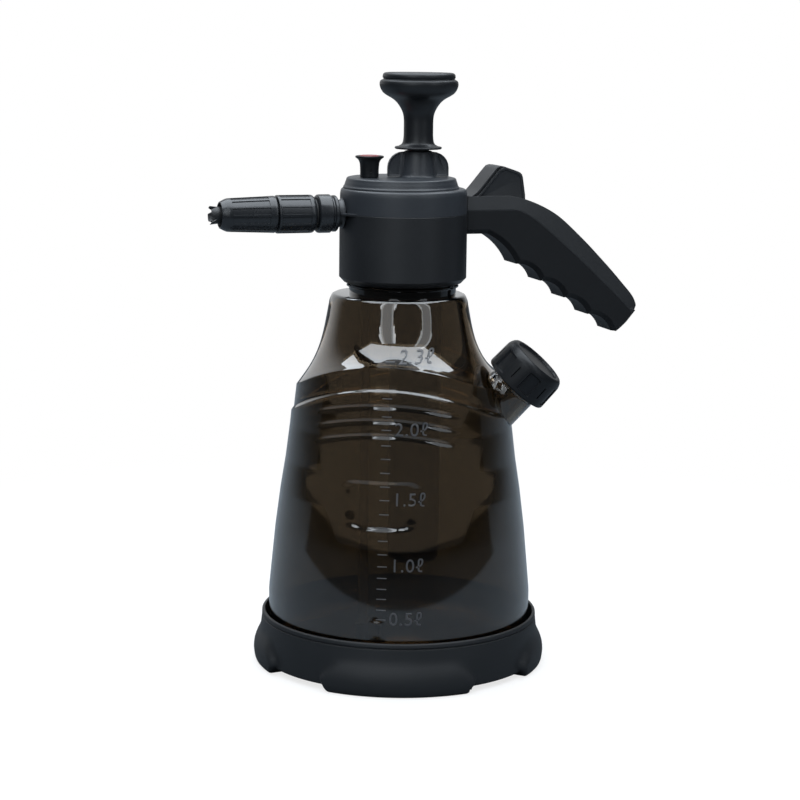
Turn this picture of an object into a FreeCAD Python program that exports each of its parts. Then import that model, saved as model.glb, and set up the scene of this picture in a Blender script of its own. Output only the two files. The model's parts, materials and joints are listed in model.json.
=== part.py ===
import FreeCAD, Part
import math
import os

# Hand-pumped pressure foam sprayer, about 2 litres. Millimetres, +Z up.
# The origin is on the base plane under the bottle's axis. The front is -Y.
# The filler spout leans to the right, +X. The pump head is screwed on with
# its nozzle turned to the left front and its handle to the right rear.

V = FreeCAD.Vector
X_AXIS = V(1, 0, 0)
Y_AXIS = V(0, 1, 0)
Z_AXIS = V(0, 0, 1)
ORIGIN = V(0, 0, 0)

# ---- driving dimensions ----
HEAD_YAW = 18.0            # the head, turned about the bottle's axis
BOTTLE_YAW = -9.0          # the bottle's graduated front, turned to the left
WALL = 1.8                 # bottle wall

BOOT_TOP = 30.0            # top of the rubber boot's rim
BOOT_RADIUS = 81.4         # between the feet
LOBE_RADIUS = 85.3         # over the feet
FOOT_HEIGHT = 6.0
FOOT_HALF_WIDTH = 38.5
MIDDLE_PAD = 20.0          # round pad under the middle, level with the feet

BOTTLE_FLOOR = 6.0
SHOULDER_TOP = 216.4       # flat shoulder under the neck
ARCH_RADIUS = 105.0        # the arched edges over the front and the back
OUTER_ARCH_TOP = 181.8
INNER_ARCH_TOP = 169.3
BAND_LINE = [(70.0, 90), (62.8, 145), (60.8, 163), (58.2, 190)]  # radius and height of the arched band
CONE_RADIUS = 43.9         # upper cone, at its height, and its slope
CONE_HEIGHT = 190.0
CONE_SLOPE = 0.182
CONE_SHIFT = -2.2          # the upper cone stands a little off the neck, away from the spout
FLARE_HEIGHT = 28.0        # the cone flares out to the band over this height
FLARE_POWER = 4.0
FLARE_STEPS = (0.0, 1.5, 3.5, 6.0, 9.0, 13.0, 18.0, 24.0, 30.0)
FLARE_COLUMNS = 48
NECK_ROOT = 30.8
NECK_CREST = 32.2
NECK_BORE = 27.7
NECK_TOP = 240.0

SPOUT_ANGLE = 48.0         # filler spout above the horizontal
SPOUT_RADIUS = 14.75
SPOUT_BORE = 10.8
CAP_RIM = (66.5, 165.65)   # centre of the filler cap's lower rim, outwards and up
FILLER_CAP_RADIUS = 19.8
FILLER_CAP_HEIGHT = 19.2
CAP_PADS = 6               # raised pads round the filler cap, each with a slot
PAD_PHASE = -104.5         # first slot, about the spout's axis

HEAD_RADIUS = 36.6
HEAD_BOTTOM = 223.2
SKIRT_CHAMFER = (2.9, 2.9)  # inwards and up
HEAD_TOP = 277.0
HEAD_CAVITY = 33.2         # radius of the dry space above the neck
LEDGE_BOTTOM = 241.5       # ledge that presses the gasket on the neck
LEDGE_TOP = 244.5
LEDGE_BORE = 25.6

LID_X = -1.5
LID_RADIUS = 32.8
LID_TOP = 283.0
SPIGOT_RADIUS = 30.2

PUMP_X = 8.4
CYLINDER_RADIUS = 15.0
CYLINDER_BORE = 13.2
CYLINDER_BOTTOM = 66.0
FLANGE_Z = 274.6           # underside of the pump cylinder's flange
ROD_RADIUS = 6.25
ROD_BOTTOM = 78.0
KNOB_BOTTOM = 299.0
KNOB_TOP = 338.8
KNOB_CAP_TOP = 342.1
BOSS_TOP = 298.0
WING_SPAN = 35.0
WING_ROUND = 9.0           # the wings' upper corners
WING_YAW = -10.0

RELIEF_X = -20.6
NOZZLE_Z = 262.9
DIP_X = -22.0
DIP_BOTTOM = 17.0          # lower end of the dip tube

HANDLE_HALF = 12.5
HANDLE_WALL = 2.4
COVER_CREST_HALF = 10.9    # the cover's sides lean in from the handle's width to this half width
COVER_LEAN = 0.93          # share of the cover's height that leans in
HANDLE_ROOT = 30.0         # start of the handle's outlines, inside the head's wall
COVER_TOP = 272.5          # top of the cover beside the trigger
HANDLE_TOP = [(72.1, 269.8), (81.5, 266.0), (91.2, 260.4), (100.4, 252.7), (110.2, 243.6), (117.2, 236.6),
              (126.6, 226.9), (134.9, 217.8), (140.2, 211.2), (141.9, 206.8)]
COVER_TIP = (140.9, 204.0)  # the cover wraps round the handle's end down to the shell's corner
SHELL_CORNER = (138.9, 201.6)
CHAMFER_END = 126.0        # the chamfer below the handle stops at its end face
SPLIT_ROOT = (64.5, 264.2)  # the line between the shell and the cover
HANDLE_SPLIT = [(69.9, 262.2), (76.4, 258.2), (84.4, 252.0), (96.2, 242.2), (113.5, 226.9), (128.1, 213.4),
                (136.6, 205.0)]
FIRST_TOOTH = (66.0, 232.9)  # the ridges between the finger grooves
TOOTH_STEP = (15.1, -10.2)
GROOVE_LIFT = (1.75, 2.6)
RIB_PITCH = 4.0            # grooves across the handle's top
RIB_DEPTH = 0.7
SCREW_POSTS = [(85.6, 224.0, 248.0), (115.9, 203.0, 221.0)]  # outwards, foot and top
TRIGGER_HALF = 10.0
SLOT_HALF = 10.4           # half width of the handle's hollow and of the trigger's slot
PIVOT = (47.0, 262.2)      # trigger pin, outwards and up
PIN_RADIUS = 1.5
PIN_HALF = 11.6            # the pin ends inside the handle's walls
LINK_Z = 254.6             # height of the push link in the handle
LINK_RADIUS = 1.5


# ---- helpers ----
def save(name, shape):
    shape.exportStep("parts/" + name + ".step")


def outline(start, steps):
    """Closed wire in the XZ plane. A step is a point, an arc (middle, end)
    or a smooth curve, given as a list of points."""
    here = V(start[0], 0, start[1])
    edges = []
    for step in steps:
        if isinstance(step, list):
            points = [here] + [V(p[0], 0, p[1]) for p in step]
            curve = Part.BSplineCurve()
            curve.interpolate(points)
            edges.append(curve.toShape())
            here = points[-1]
        elif isinstance(step[0], tuple):
            middle = V(step[0][0], 0, step[0][1])
            end = V(step[1][0], 0, step[1][1])
            edges.append(Part.Arc(here, middle, end).toShape())
            here = end
        else:
            end = V(step[0], 0, step[1])
            edges.append(Part.makeLine(here, end))
            here = end
    first = V(start[0], 0, start[1])
    if here.distanceToPoint(first) > 1e-6:
        edges.append(Part.makeLine(here, first))
    return Part.Wire(edges)


def spin(start, steps):
    """Turned solid about the Z axis, from an outline of (radius, height)."""
    return Part.Face(outline(start, steps)).revolve(ORIGIN, Z_AXIS, 360)


def slab(start, steps, half):
    """Plate with an outline of (across, up), from -half to half along Y."""
    plate = Part.Face(outline(start, steps)).extrude(V(0, 2 * half, 0))
    plate.translate(V(0, -half, 0))
    return plate


def rod(radius, low, high, x=0.0, y=0.0):
    return Part.makeCylinder(radius, high - low, V(x, y, low))


def ring(outer, inner, low, high, x=0.0, y=0.0):
    return rod(outer, low, high, x, y).cut(rod(inner, low - 1, high + 1, x, y))


def block(x0, x1, y0, y1, z0, z1):
    return Part.makeBox(x1 - x0, y1 - y0, z1 - z0, V(x0, y0, z0))


def turned(shape, angle, axis=Z_AXIS):
    copy = shape.copy()
    copy.rotate(ORIGIN, axis, angle)
    return copy


def moved(shape, x=0.0, y=0.0, z=0.0):
    copy = shape.copy()
    copy.translate(V(x, y, z))
    return copy


def around(shape, count):
    """The same shape, count times round the Z axis."""
    return Part.Compound([turned(shape, 360.0 * i / count) for i in range(count)])


def fused(first, *others):
    return first.fuse(list(others)).removeSplitter()


def coil(radius, wire, length, turns, place, direction=Z_AXIS):
    """Round-wire spring whose coils start at a place and run along a direction."""
    path = Part.Wire(Part.makeHelix(length / turns, length, radius).Edges)
    section = Part.Wire(Part.makeCircle(wire, V(radius, 0, 0), Y_AXIS))
    spring = path.makePipeShell([section], True, True)
    spring.Placement = FreeCAD.Placement(place, FreeCAD.Rotation(Z_AXIS, direction))
    return spring


def in_head(shape):
    """Head parts are drawn with the handle along +X and then turned with the head."""
    return turned(shape, HEAD_YAW)


def in_bottle(shape):
    return turned(shape, BOTTLE_YAW)


def on_pump(shape):
    return in_head(moved(shape, PUMP_X))


def on_relief(shape):
    return in_head(moved(shape, RELIEF_X))


def outward(shape, height):
    """A shape drawn upwards, laid down to run towards the handle at a height."""
    return moved(turned(shape, 90, Y_AXIS), 0, 0, height)


def forward(shape):
    """A shape drawn upwards, laid down to run along the nozzle's axis."""
    return moved(turned(shape, -90, Y_AXIS), 0, 0, NOZZLE_Z)


def on_nozzle(shape):
    """Nozzle parts are drawn upwards, their height being the distance from the head's axis."""
    return in_head(forward(shape))


def crosswise(radius, half):
    """Rod along the trigger pin."""
    return moved(turned(rod(radius, -half, half), 90, X_AXIS), PIVOT[0], 0, PIVOT[1])


def on_spout(shape):
    """Filler parts are drawn upwards from the cap's lower rim."""
    leaned = turned(shape, 90 - SPOUT_ANGLE, Y_AXIS)
    return in_bottle(moved(leaned, CAP_RIM[0], 0, CAP_RIM[1]))


# ---- base ----
def base_boot():
    wall_in = 78.5
    sole = FOOT_HEIGHT - 3
    skirt = spin((0, sole), [(BOOT_RADIUS - 1, sole), (BOOT_RADIUS, sole + 1), (BOOT_RADIUS, 19.5),
                             (80.2, 28.5), (80.2, BOOT_TOP), (78.6, BOOT_TOP), (wall_in, 8),
                             (wall_in, BOTTLE_FLOOR), (0, BOTTLE_FLOOR)])
    lobe_ring = spin((66, 0), [(LOBE_RADIUS - 2.5, 0), (LOBE_RADIUS - 0.5, 3), (LOBE_RADIUS, 7),
                               ((83.8, 13.5), (BOOT_RADIUS - 0.2, 20)), (79.6, 20), (79.6, 4), (66, 4)])
    rise = FOOT_HALF_WIDTH + 4.5
    foot_side = slab((-FOOT_HALF_WIDTH, -1), [(FOOT_HALF_WIDTH, -1), (rise, 6.5), (rise, 30),
                                              (-rise, 30), (-rise, 6.5)], 30)
    foot = lobe_ring.common(moved(foot_side, 0, -78))
    feet = [turned(foot, 90 * i) for i in range(4)]
    return fused(skirt, rod(MIDDLE_PAD, 0, FOOT_HEIGHT), *feet)


# ---- bottle ----
def arched(top, half):
    """Tall plate whose top edge is a wide arch, highest over the front."""
    side = 90.0
    drop = ARCH_RADIUS - math.sqrt(ARCH_RADIUS ** 2 - side ** 2)
    return slab((-side, 0), [(-side, top - drop), ((0, top), (side, top - drop)), (side, 0)], half)


def eased(low, high, value):
    share = min(max((value - low) / (high - low), 0.0), 1.0)
    return share * share * (3 - 2 * share)


def on_line(line, height):
    """Radius of a profile line at a height."""
    for (r0, z0), (r1, z1) in zip(line, line[1:]):
        if height <= z1:
            return r0 + (r1 - r0) * (height - z0) / (z1 - z0)
    return line[-1][0]


def flare_row(level, inset):
    """Closed curve round the upper cone, at a level measured on the front. It follows the arch."""
    share = 1 - eased(186, 217, level)
    rest = 1 - min((level - OUTER_ARCH_TOP) / FLARE_HEIGHT, 1.0)
    shift = CONE_SHIFT * (1 - rest ** 3)
    points = []
    for i in range(FLARE_COLUMNS):
        angle = 2 * math.pi * i / FLARE_COLUMNS
        radius = 50.0
        for turn in range(8):
            across = radius * math.sin(angle)
            height = level - share * (ARCH_RADIUS - math.sqrt(ARCH_RADIUS ** 2 - across ** 2))
            cone = CONE_RADIUS + (CONE_HEIGHT - height) * CONE_SLOPE
            radius = cone + (on_line(BAND_LINE, height) - cone) * rest ** FLARE_POWER
        radius -= inset
        points.append(V(shift + radius * math.sin(angle), -radius * math.cos(angle), height - inset * rest))
    curve = Part.BSplineCurve()
    curve.interpolate(points, PeriodicFlag=True)
    return Part.Wire(curve.toShape())


def flared_cone(inset):
    top = SHOULDER_TOP - inset
    levels = [OUTER_ARCH_TOP + 0.05 + step for step in FLARE_STEPS]
    edge = flare_row(levels[0], inset + 0.1)
    wires = [Part.Wire(Part.makeCircle(40, V(0, 0, 120))), edge]
    wires += [flare_row(level, inset) for level in levels[1:]]
    wires += [Part.Wire(Part.makeCircle(radius, V(CONE_SHIFT, 0, z)))
              for radius, z in ((39.3 - inset, top - 1), (38.5 - inset, top))]
    return Part.makeLoft(wires, True, True)


def bottle_form(inset):
    """The bottle's outside, or with an inset its inside."""
    floor = BOTTLE_FLOOR + 1.2 * inset
    foot = BAND_LINE[0][1]
    top = BAND_LINE[-1][1]
    band = spin((0, foot), [(radius - inset, z) for radius, z in BAND_LINE] + [(0, top)])
    panel = spin((0, floor), [(69.9 - inset, floor),
                              ((75.5 - inset, floor + 2.3), (77.9 - inset, floor + 8)),
                              (76.4 - inset, 43), (72.8 - inset, 80), (69.8 - inset, 103),
                              (66.9 - inset, 121), (64.4 - inset, 141), (61.6 - inset, 170), (0, 170)])
    lower = panel.common(arched(INNER_ARCH_TOP - inset, 90))
    upper = band.common(arched(OUTER_ARCH_TOP - inset, 90))
    return fused(lower, upper, flared_cone(inset))


def spout_form(radius, length):
    return on_spout(rod(radius, -length, 0))


def bottle():
    threads = [ring(NECK_CREST, NECK_ROOT - 1, z, z + 1.5) for z in (220.6, 224.2, 227.8, 231.4)]
    neck = fused(rod(NECK_ROOT, SHOULDER_TOP - 4, NECK_TOP), *threads)
    mouth = on_spout(rod(SPOUT_RADIUS - 1.5, -3, 14.0))
    spout_threads = [on_spout(ring(14.3, 12.0, z, z + 1.2)) for z in (0.8, 4.3, 7.8)]
    outside = fused(in_bottle(bottle_form(0)), in_bottle(neck), spout_form(SPOUT_RADIUS, 44).cut(
        on_spout(rod(30, -2.2, 1))), mouth, *spout_threads)
    inside = in_bottle(fused(bottle_form(WALL), rod(NECK_BORE, SHOULDER_TOP - 8, NECK_TOP + 1)))
    bore = on_spout(rod(SPOUT_BORE, -36, 20))
    hollow = outside.cut(fused(inside, bore))
    recess = slab((-20.5, 93.5), [(20.5, 93.5), (20.5, 118.5), (-20.5, 118.5)], 10)
    recess_skin = spin((67.0, 121), [(69.0, 103), (70.2, 90), (90, 90), (90, 121)])
    label = moved(recess, 0, -70).common(recess_skin)
    return hollow.cut(in_bottle(label))


def filler_gasket():
    return on_spout(ring(13.2, 9.2, 14.05, 15.75))


def filler_cap():
    radius = FILLER_CAP_RADIUS
    high = FILLER_CAP_HEIGHT
    bore = 14.9
    shell = spin((bore, 0), [(radius - 0.6, 0), (radius, 0.6), (radius - 0.4, high - 3.4),
                             ((radius - 1.4, high - 1.0), (radius - 3.6, high)), (13.4, high),
                             (13.4, high - 1.0), (0, high - 1.0), (0, 15.8), (bore, 15.8)])
    panels = around(block(radius - 1.0, radius + 2, -4.4, 4.4, 2.6, high - 4.4), CAP_PADS)
    slots = around(block(radius - 1.8, radius + 2, -0.45, 0.45, 5.0, high - 5.6), CAP_PADS)
    panels = turned(panels, PAD_PHASE + 180.0 / CAP_PADS)
    return on_spout(shell.cut(panels).cut(turned(slots, PAD_PHASE)))


# ---- head ----
def head_body():
    bore = NECK_CREST + 0.5
    shell = spin((bore, HEAD_BOTTOM), [
        (HEAD_RADIUS - SKIRT_CHAMFER[0], HEAD_BOTTOM), (HEAD_RADIUS, HEAD_BOTTOM + SKIRT_CHAMFER[1]),
        (HEAD_RADIUS, HEAD_TOP - 3),
        ((HEAD_RADIUS - 0.9, HEAD_TOP - 0.9), (HEAD_RADIUS - 3, HEAD_TOP)), (29, HEAD_TOP),
        (29, HEAD_TOP - 3), (HEAD_CAVITY, HEAD_TOP - 6.5), (HEAD_CAVITY, LEDGE_TOP), (LEDGE_BORE, LEDGE_TOP),
        (LEDGE_BORE, LEDGE_BOTTOM), (bore, LEDGE_BOTTOM)])
    lid_seat = rod(SPIGOT_RADIUS + 0.1, HEAD_TOP - 6.6, HEAD_TOP + 1, LID_X)
    outlet_hole = forward(rod(6.4, 25, 45))
    link_hole = outward(rod(LINK_RADIUS + 0.4, 25, 45), LINK_Z)
    corners = [V(-40.5, -8.0, 0), V(-40.5, 8.0, 0), V(-30.0, 19.0, 0), V(-30.0, -19.0, 0)]
    corners.append(corners[0])
    gusset = Part.Face(Part.makePolygon(corners)).extrude(V(0, 0, 1.4))
    gusset = moved(gusset, 0, 0, NOZZLE_Z - 0.7).cut(rod(HEAD_RADIUS - 1, 200, 300))
    gusset = gusset.cut(forward(rod(8.7, 25, 45)))
    return in_head(shell.cut(fused(lid_seat, outlet_hole, link_hole)).fuse(gusset).removeSplitter())


def head_gasket():
    return ring(NECK_CREST + 0.2, NECK_BORE + 0.2, NECK_TOP, LEDGE_BOTTOM)


def lid():
    tier = spin((0, HEAD_TOP), [(LID_RADIUS + 0.4, HEAD_TOP), (LID_RADIUS - 0.1, HEAD_TOP + 1.2),
                                (LID_RADIUS - 1.3, LID_TOP - 1.4),
                                ((LID_RADIUS - 1.7, LID_TOP - 0.5), (LID_RADIUS - 2.6, LID_TOP)),
                                (0, LID_TOP)])
    spigot = rod(SPIGOT_RADIUS, HEAD_TOP - 6.5, HEAD_TOP + 1)
    hollow = rod(SPIGOT_RADIUS - 2.5, HEAD_TOP - 7, HEAD_TOP - 2.6)
    body = moved(fused(tier, spigot).cut(hollow), LID_X)
    well = rod(20.0, HEAD_TOP - 6.5, HEAD_TOP, PUMP_X).common(rod(29, 200, 300, LID_X))
    pump_hole = rod(17.2, FLANGE_Z, LID_TOP + 1, PUMP_X)
    cylinder_hole = rod(CYLINDER_RADIUS + 0.2, HEAD_TOP - 8, LID_TOP, PUMP_X)
    vent = rod(3.5, HEAD_TOP - 4, LID_TOP + 1, RELIEF_X)
    return in_head(fused(body, well).cut(fused(pump_hole, cylinder_hole, vent)))


# ---- pump ----
def pump_cylinder():
    tube = ring(CYLINDER_RADIUS, CYLINDER_BORE, CYLINDER_BOTTOM + 3, FLANGE_Z + 2.4)
    flange = ring(17.0, CYLINDER_BORE, FLANGE_Z, FLANGE_Z + 2.4)
    seat = rod(CYLINDER_RADIUS, CYLINDER_BOTTOM, CYLINDER_BOTTOM + 3)
    ports = around(rod(1.3, CYLINDER_BOTTOM - 1, CYLINDER_BOTTOM + 4, 5.0), 6)
    return on_pump(fused(tube, flange, seat).cut(ports))


def pump_cylinder_seal():
    return on_pump(ring(16.9, 14.2, FLANGE_Z + 2.4, FLANGE_Z + 3.6))


def rod_bush():
    return on_pump(ring(CYLINDER_BORE - 0.02, ROD_RADIUS + 0.08, FLANGE_Z - 12, FLANGE_Z - 3))


def pump_cap():
    low = FLANGE_Z + 3.6
    plug = spin((ROD_RADIUS + 0.4, low), [(16.9, low), (16.9, LID_TOP - 0.5), (16.4, LID_TOP),
                                          (10.6, LID_TOP), ((9.5, LID_TOP + 0.6), (9.1, LID_TOP + 2.2)),
                                          (8.1, BOSS_TOP - 0.8), (7.3, BOSS_TOP),
                                          (ROD_RADIUS + 0.4, BOSS_TOP)])
    half = WING_SPAN / 2
    top = BOSS_TOP - 0.6
    foot = LID_TOP + 0.4
    across = half - WING_ROUND
    up = top - WING_ROUND
    slant = WING_ROUND * math.sqrt(0.5)
    wing = slab((-half, foot), [(-half, up), ((-across - slant, up + slant), (-across, top)),
                                (across, top), ((across + slant, up + slant), (half, up)), (half, foot),
                                (15.4, foot), (15.4, foot - 1), (-15.4, foot - 1), (-15.4, foot)], 1.7)
    wing = turned(wing, WING_YAW - HEAD_YAW).cut(rod(7.5, 200, 320))
    return on_pump(fused(plug, wing))


def check_cage():
    cup = spin((0, 59), [(12.5, 59), (14.6, 61), (14.6, CYLINDER_BOTTOM), (11.0, CYLINDER_BOTTOM),
                         (11.0, 62.5), (0, 62.5)])
    nub = rod(4.2, 55.5, 60)
    windows = around(rod(1.6, 50, 64, 7.6), 6)
    return on_pump(fused(cup, nub).cut(windows))


def check_disc():
    return on_pump(rod(9.6, CYLINDER_BOTTOM - 1.9, CYLINDER_BOTTOM))


def piston():
    low = ROD_BOTTOM - 4
    body = spin((0, low), [(12.2, low), (12.7, low + 0.5), (12.7, low + 3), (10, low + 3), (10, low + 7),
                           (12.7, low + 7), (12.7, low + 9), (8, low + 11), (8, low + 15),
                           (ROD_RADIUS + 0.02, low + 15), (ROD_RADIUS + 0.02, ROD_BOTTOM), (0, ROD_BOTTOM)])
    return on_pump(body)


def piston_seal():
    low = ROD_BOTTOM - 4
    return on_pump(spin((10.15, low + 3.1), [(12.6, low + 3.1), (13.1, low + 5.0), (12.6, low + 6.9),
                                             (10.15, low + 6.9)]))


def pump_rod():
    top = KNOB_BOTTOM + 14
    tube = ring(ROD_RADIUS, 3.9, ROD_BOTTOM, top)
    return on_pump(tube)


def pump_knob():
    low = KNOB_BOTTOM
    bore = ROD_RADIUS + 0.02
    flare = [(9.4, low + 19.5), (11.8, low + 24.2), (14.8, low + 28.0), (19.6, low + 31.6)]
    body = spin((bore, low), [
        (13.0, low), (13.5, low + 0.5), (13.3, low + 1.4), ((10.0, low + 2.6), (8.6, low + 5.6)),
        (8.4, low + 8), (8.4, low + 14), flare, ((22.2, low + 35.4), (21.9, low + 38.0)),
        (20.9, KNOB_TOP - 0.4), (20.0, KNOB_TOP), (0, KNOB_TOP), (0, low + 14.05), (bore, low + 14.05)])
    return on_pump(body)


def knob_cap():
    top = KNOB_CAP_TOP
    return on_pump(spin((0, KNOB_TOP), [(20.5, KNOB_TOP), (20.9, KNOB_TOP + 0.5), (20.9, top - 0.9),
                                        ((20.6, top - 0.2), (20.0, top)), (17.5, top),
                                        (16.5, top - 0.7), (0, top - 0.7)]))


# ---- pressure relief valve ----
def relief_post():
    low = HEAD_TOP - 2.6
    top = LID_TOP + 7.4
    tube = spin((1.3, low), [(3.4, low), (3.4, LID_TOP), (4.4, LID_TOP), (4.4, top), (1.1, top),
                             (1.1, top - 1.4), (3.2, top - 1.4), (3.2, LID_TOP + 0.8), (1.3, LID_TOP + 0.8)])
    return on_relief(tube)


def relief_stem():
    stem = spin((0, LID_TOP + 1.8), [(2.6, LID_TOP + 1.8), (2.6, LID_TOP + 2.5), (0.9, LID_TOP + 2.5),
                                     (0.9, LID_TOP + 9.6), (0, LID_TOP + 9.6)])
    return on_relief(stem)


def relief_seal():
    return on_relief(rod(2.9, LID_TOP + 0.8, LID_TOP + 1.8))


def relief_spring():
    return on_relief(coil(2.2, 0.28, 2.7, 4, V(0, 0, LID_TOP + 2.9)))


def relief_knob():
    low = LID_TOP + 0.2
    cup = spin((4.7, low), [(5.3, low), (5.3, low + 5.0), ((5.9, low + 8.4), (8.0, low + 11.2)),
                            (8.1, low + 11.8), (7.5, low + 12.2), (6.0, low + 12.0), (5.8, low + 10.6),
                            (0.95, low + 10.6), (0.95, low + 7.6), (4.7, low + 7.6)])
    hole = moved(turned(rod(0.6, 0, 9), 90, X_AXIS), 0, 0, low + 3.0)
    return on_relief(cup.cut(hole))


def relief_button():
    low = LID_TOP + 10.8
    return on_relief(spin((0, low), [(5.75, low), (5.75, low + 1.5), (4.6, low + 1.9), (0, low + 2.0)]))


# ---- liquid path and valve ----
def valve_body():
    body = spin((2.4, 15.5), [
        (6.2, 15.5), (6.2, 36.7), (8.6, 37.0), ((8.0, 37.7), (7.7, 38.8)), (7.7, 40.2), (6.8, 40.2),
        (6.8, 59.5), (2.0, 59.5), (2.0, 32.0), (3.9, 30.0), (3.9, 16.5), (2.4, 16.5)])
    outlet = forward(body)
    socket = rod(4.4, NOZZLE_Z - 11, NOZZLE_Z - 4.5, DIP_X)
    inlet = rod(2.0, NOZZLE_Z - 12, NOZZLE_Z - 2, DIP_X)
    seat = rod(3.0, NOZZLE_Z - 12, NOZZLE_Z - 6.5, DIP_X)
    return in_head(fused(outlet, socket).cut(fused(inlet, seat)))


def dip_tube():
    return in_head(ring(2.95, 2.0, DIP_BOTTOM, NOZZLE_Z - 6.5, DIP_X))


def dip_filter():
    cup = spin((3.0, DIP_BOTTOM + 6), [(4.2, DIP_BOTTOM + 6), (4.6, DIP_BOTTOM + 5),
                                       (4.6, DIP_BOTTOM - 4),
                                       (4.0, DIP_BOTTOM - 5), (0, DIP_BOTTOM - 5), (0, DIP_BOTTOM - 4),
                                       (3.6, DIP_BOTTOM - 4), (3.6, DIP_BOTTOM - 0.01),
                                       (3.0, DIP_BOTTOM - 0.01)])
    slots = around(block(0, 6, -0.4, 0.4, DIP_BOTTOM - 3.6, DIP_BOTTOM - 0.6), 8)
    return in_head(moved(cup.cut(slots), DIP_X))


# ---- nozzle ----
def nozzle_collar():
    return on_nozzle(spin((6.9, 40.4), [(9.9, 40.4), (10.3, 41.0), (10.3, 42.4), (9.6, 42.8), (9.6, 43.6),
                                        (10.9, 44.2), (10.9, 50.8), ((10.6, 51.6), (9.9, 52.0)), (9.0, 52.0),
                                        (9.0, 51.4), (8.2, 51.4), (8.2, 52.0), (6.9, 52.0)]))


def nozzle_oring():
    return on_nozzle(Part.makeTorus(7.75, 0.75, V(0, 0, 52.85), Z_AXIS))


def grooved(shape, radius, low, high, count, width):
    """Shallow long panels round a sleeve."""
    return shape.cut(around(block(radius - 0.7, radius + 3, -width / 2, width / 2, low, high), count))


def nozzle_body():
    shell = spin((6.9, 53.8), [(9.6, 53.8), ((10.5, 54.3), (10.8, 55.4)), (10.8, 75.4), (7.0, 75.4),
                               (7.0, 100.0), (5.0, 100.0), (5.0, 61.0), (6.9, 61.0)])
    return on_nozzle(grooved(shell, 10.8, 57.0, 74.2, 12, 4.0))


def nozzle_jet():
    return on_nozzle(spin((0.5, 61.0), [(4.95, 61.0), (4.95, 67.0), (3.0, 67.0), (1.2, 65.0), (0.5, 65.0)]))


def foam_screens():
    discs = [rod(4.95, z, z + 0.4) for z in (74.0, 82.0)]
    spacer = ring(4.95, 4.0, 74.4, 82.0)
    holes = [turned(rod(0.55, 70, 86, x), a) for x, n in ((1.4, 6), (2.9, 12)) for a in
             [360.0 * i / n for i in range(n)]]
    drill = Part.Compound(holes)
    return on_nozzle(Part.Compound([discs[0].cut(drill), discs[1].cut(drill), spacer]))


def nozzle_sleeve():
    shell = spin((7.08, 76.4), [(10.4, 76.4), (9.4, 103.0), ((9.1, 104.4), (7.6, 107.5)), (6.8, 107.9),
                                (6.3, 104.5), (6.3, 100.8), (7.08, 100.8)])
    return on_nozzle(grooved(shell, 9.95, 79.6, 101.0, 12, 3.4))


def nozzle_tip():
    cone = spin((3.5, 86.0), [(4.95, 86.0), (4.95, 99.5), (4.5, 101.5), (4.5, 106.5), (5.2, 113.2),
                              (4.3, 113.4), (3.5, 106.5)])
    slots = around(block(-0.6, 8, -0.4, 0.4, 104, 120), 4)
    notch = slab((-5, 118), [(0, 110.2), (5, 118)], 9)
    points = fused(notch, turned(notch, 90))
    return on_nozzle(turned(cone.cut(slots).cut(points), 20))


# ---- handle ----
def finger_grooves():
    """Arcs of the four finger grooves, from the tip back to the root."""
    arcs = []
    for i in range(3, -1, -1):
        end = (FIRST_TOOTH[0] + TOOTH_STEP[0] * i, FIRST_TOOTH[1] + TOOTH_STEP[1] * i)
        middle = (end[0] + TOOTH_STEP[0] / 2 + GROOVE_LIFT[0], end[1] + TOOTH_STEP[1] / 2 + GROOVE_LIFT[1])
        arcs.append((middle, end))
    return arcs


def shell_outline():
    last = (FIRST_TOOTH[0] + TOOTH_STEP[0] * 4, FIRST_TOOTH[1] + TOOTH_STEP[1] * 4)
    back = [SHELL_CORNER, (135.2, 197.2), ((132.1, 194.4), (128.9, 191.9)), last]
    under = [((57.0, 244.8), (47.5, 250.8)), (HANDLE_ROOT, 250.8)]
    return (HANDLE_ROOT, SPLIT_ROOT[1]), [SPLIT_ROOT, HANDLE_SPLIT] + back + finger_grooves() + under


def long_edges(shape, half, keep):
    """Edges that lie in the two side faces and pass a test on their middle."""
    found = []
    for edge in shape.Edges:
        ends = [abs(abs(v.Point.y) - half) < 1e-4 for v in edge.Vertexes]
        middle = edge.valueAt((edge.FirstParameter + edge.LastParameter) / 2)
        if all(ends) and abs(abs(middle.y) - half) < 1e-4 and keep(middle):
            found.append(edge)
    return found


def handle_shell():
    start, steps = shell_outline()
    solid = slab(start, steps, HANDLE_HALF)
    below = lambda p: p.z < 258 - max(p.x - 62, 0) * 0.82
    lower = long_edges(solid, HANDLE_HALF, lambda p: 31 < p.x < CHAMFER_END and below(p))
    solid = solid.makeChamfer(2.6, lower)
    inner = Part.Face(outline(start, steps)).makeOffset2D(-HANDLE_WALL)
    inner = moved(inner.extrude(V(0, 2 * SLOT_HALF, 0)), 0, -SLOT_HALF)
    lifted = moved(inner, 2.0, 0, 3.2)
    root = block(20, 52, -SLOT_HALF, SLOT_HALF, 252.7, 268)
    pin = crosswise(PIN_RADIUS + 0.05, PIN_HALF + 0.1)
    posts = [rod(3.6, z0, z1, x) for x, z0, z1 in SCREW_POSTS]
    holes = [rod(1.55, z0 - 20, z1 + 5, x).fuse(rod(3.1, z0 - 20, z0 + 1.0, x)) for x, z0, z1 in SCREW_POSTS]
    hollow = solid.cut(fused(inner, lifted, root))
    posts = [post.common(solid) for post in posts]
    whole = fused(hollow, *posts).cut(fused(pin, *holes)).cut(rod(HEAD_RADIUS, 200, 300))
    return in_head(whole)


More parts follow.
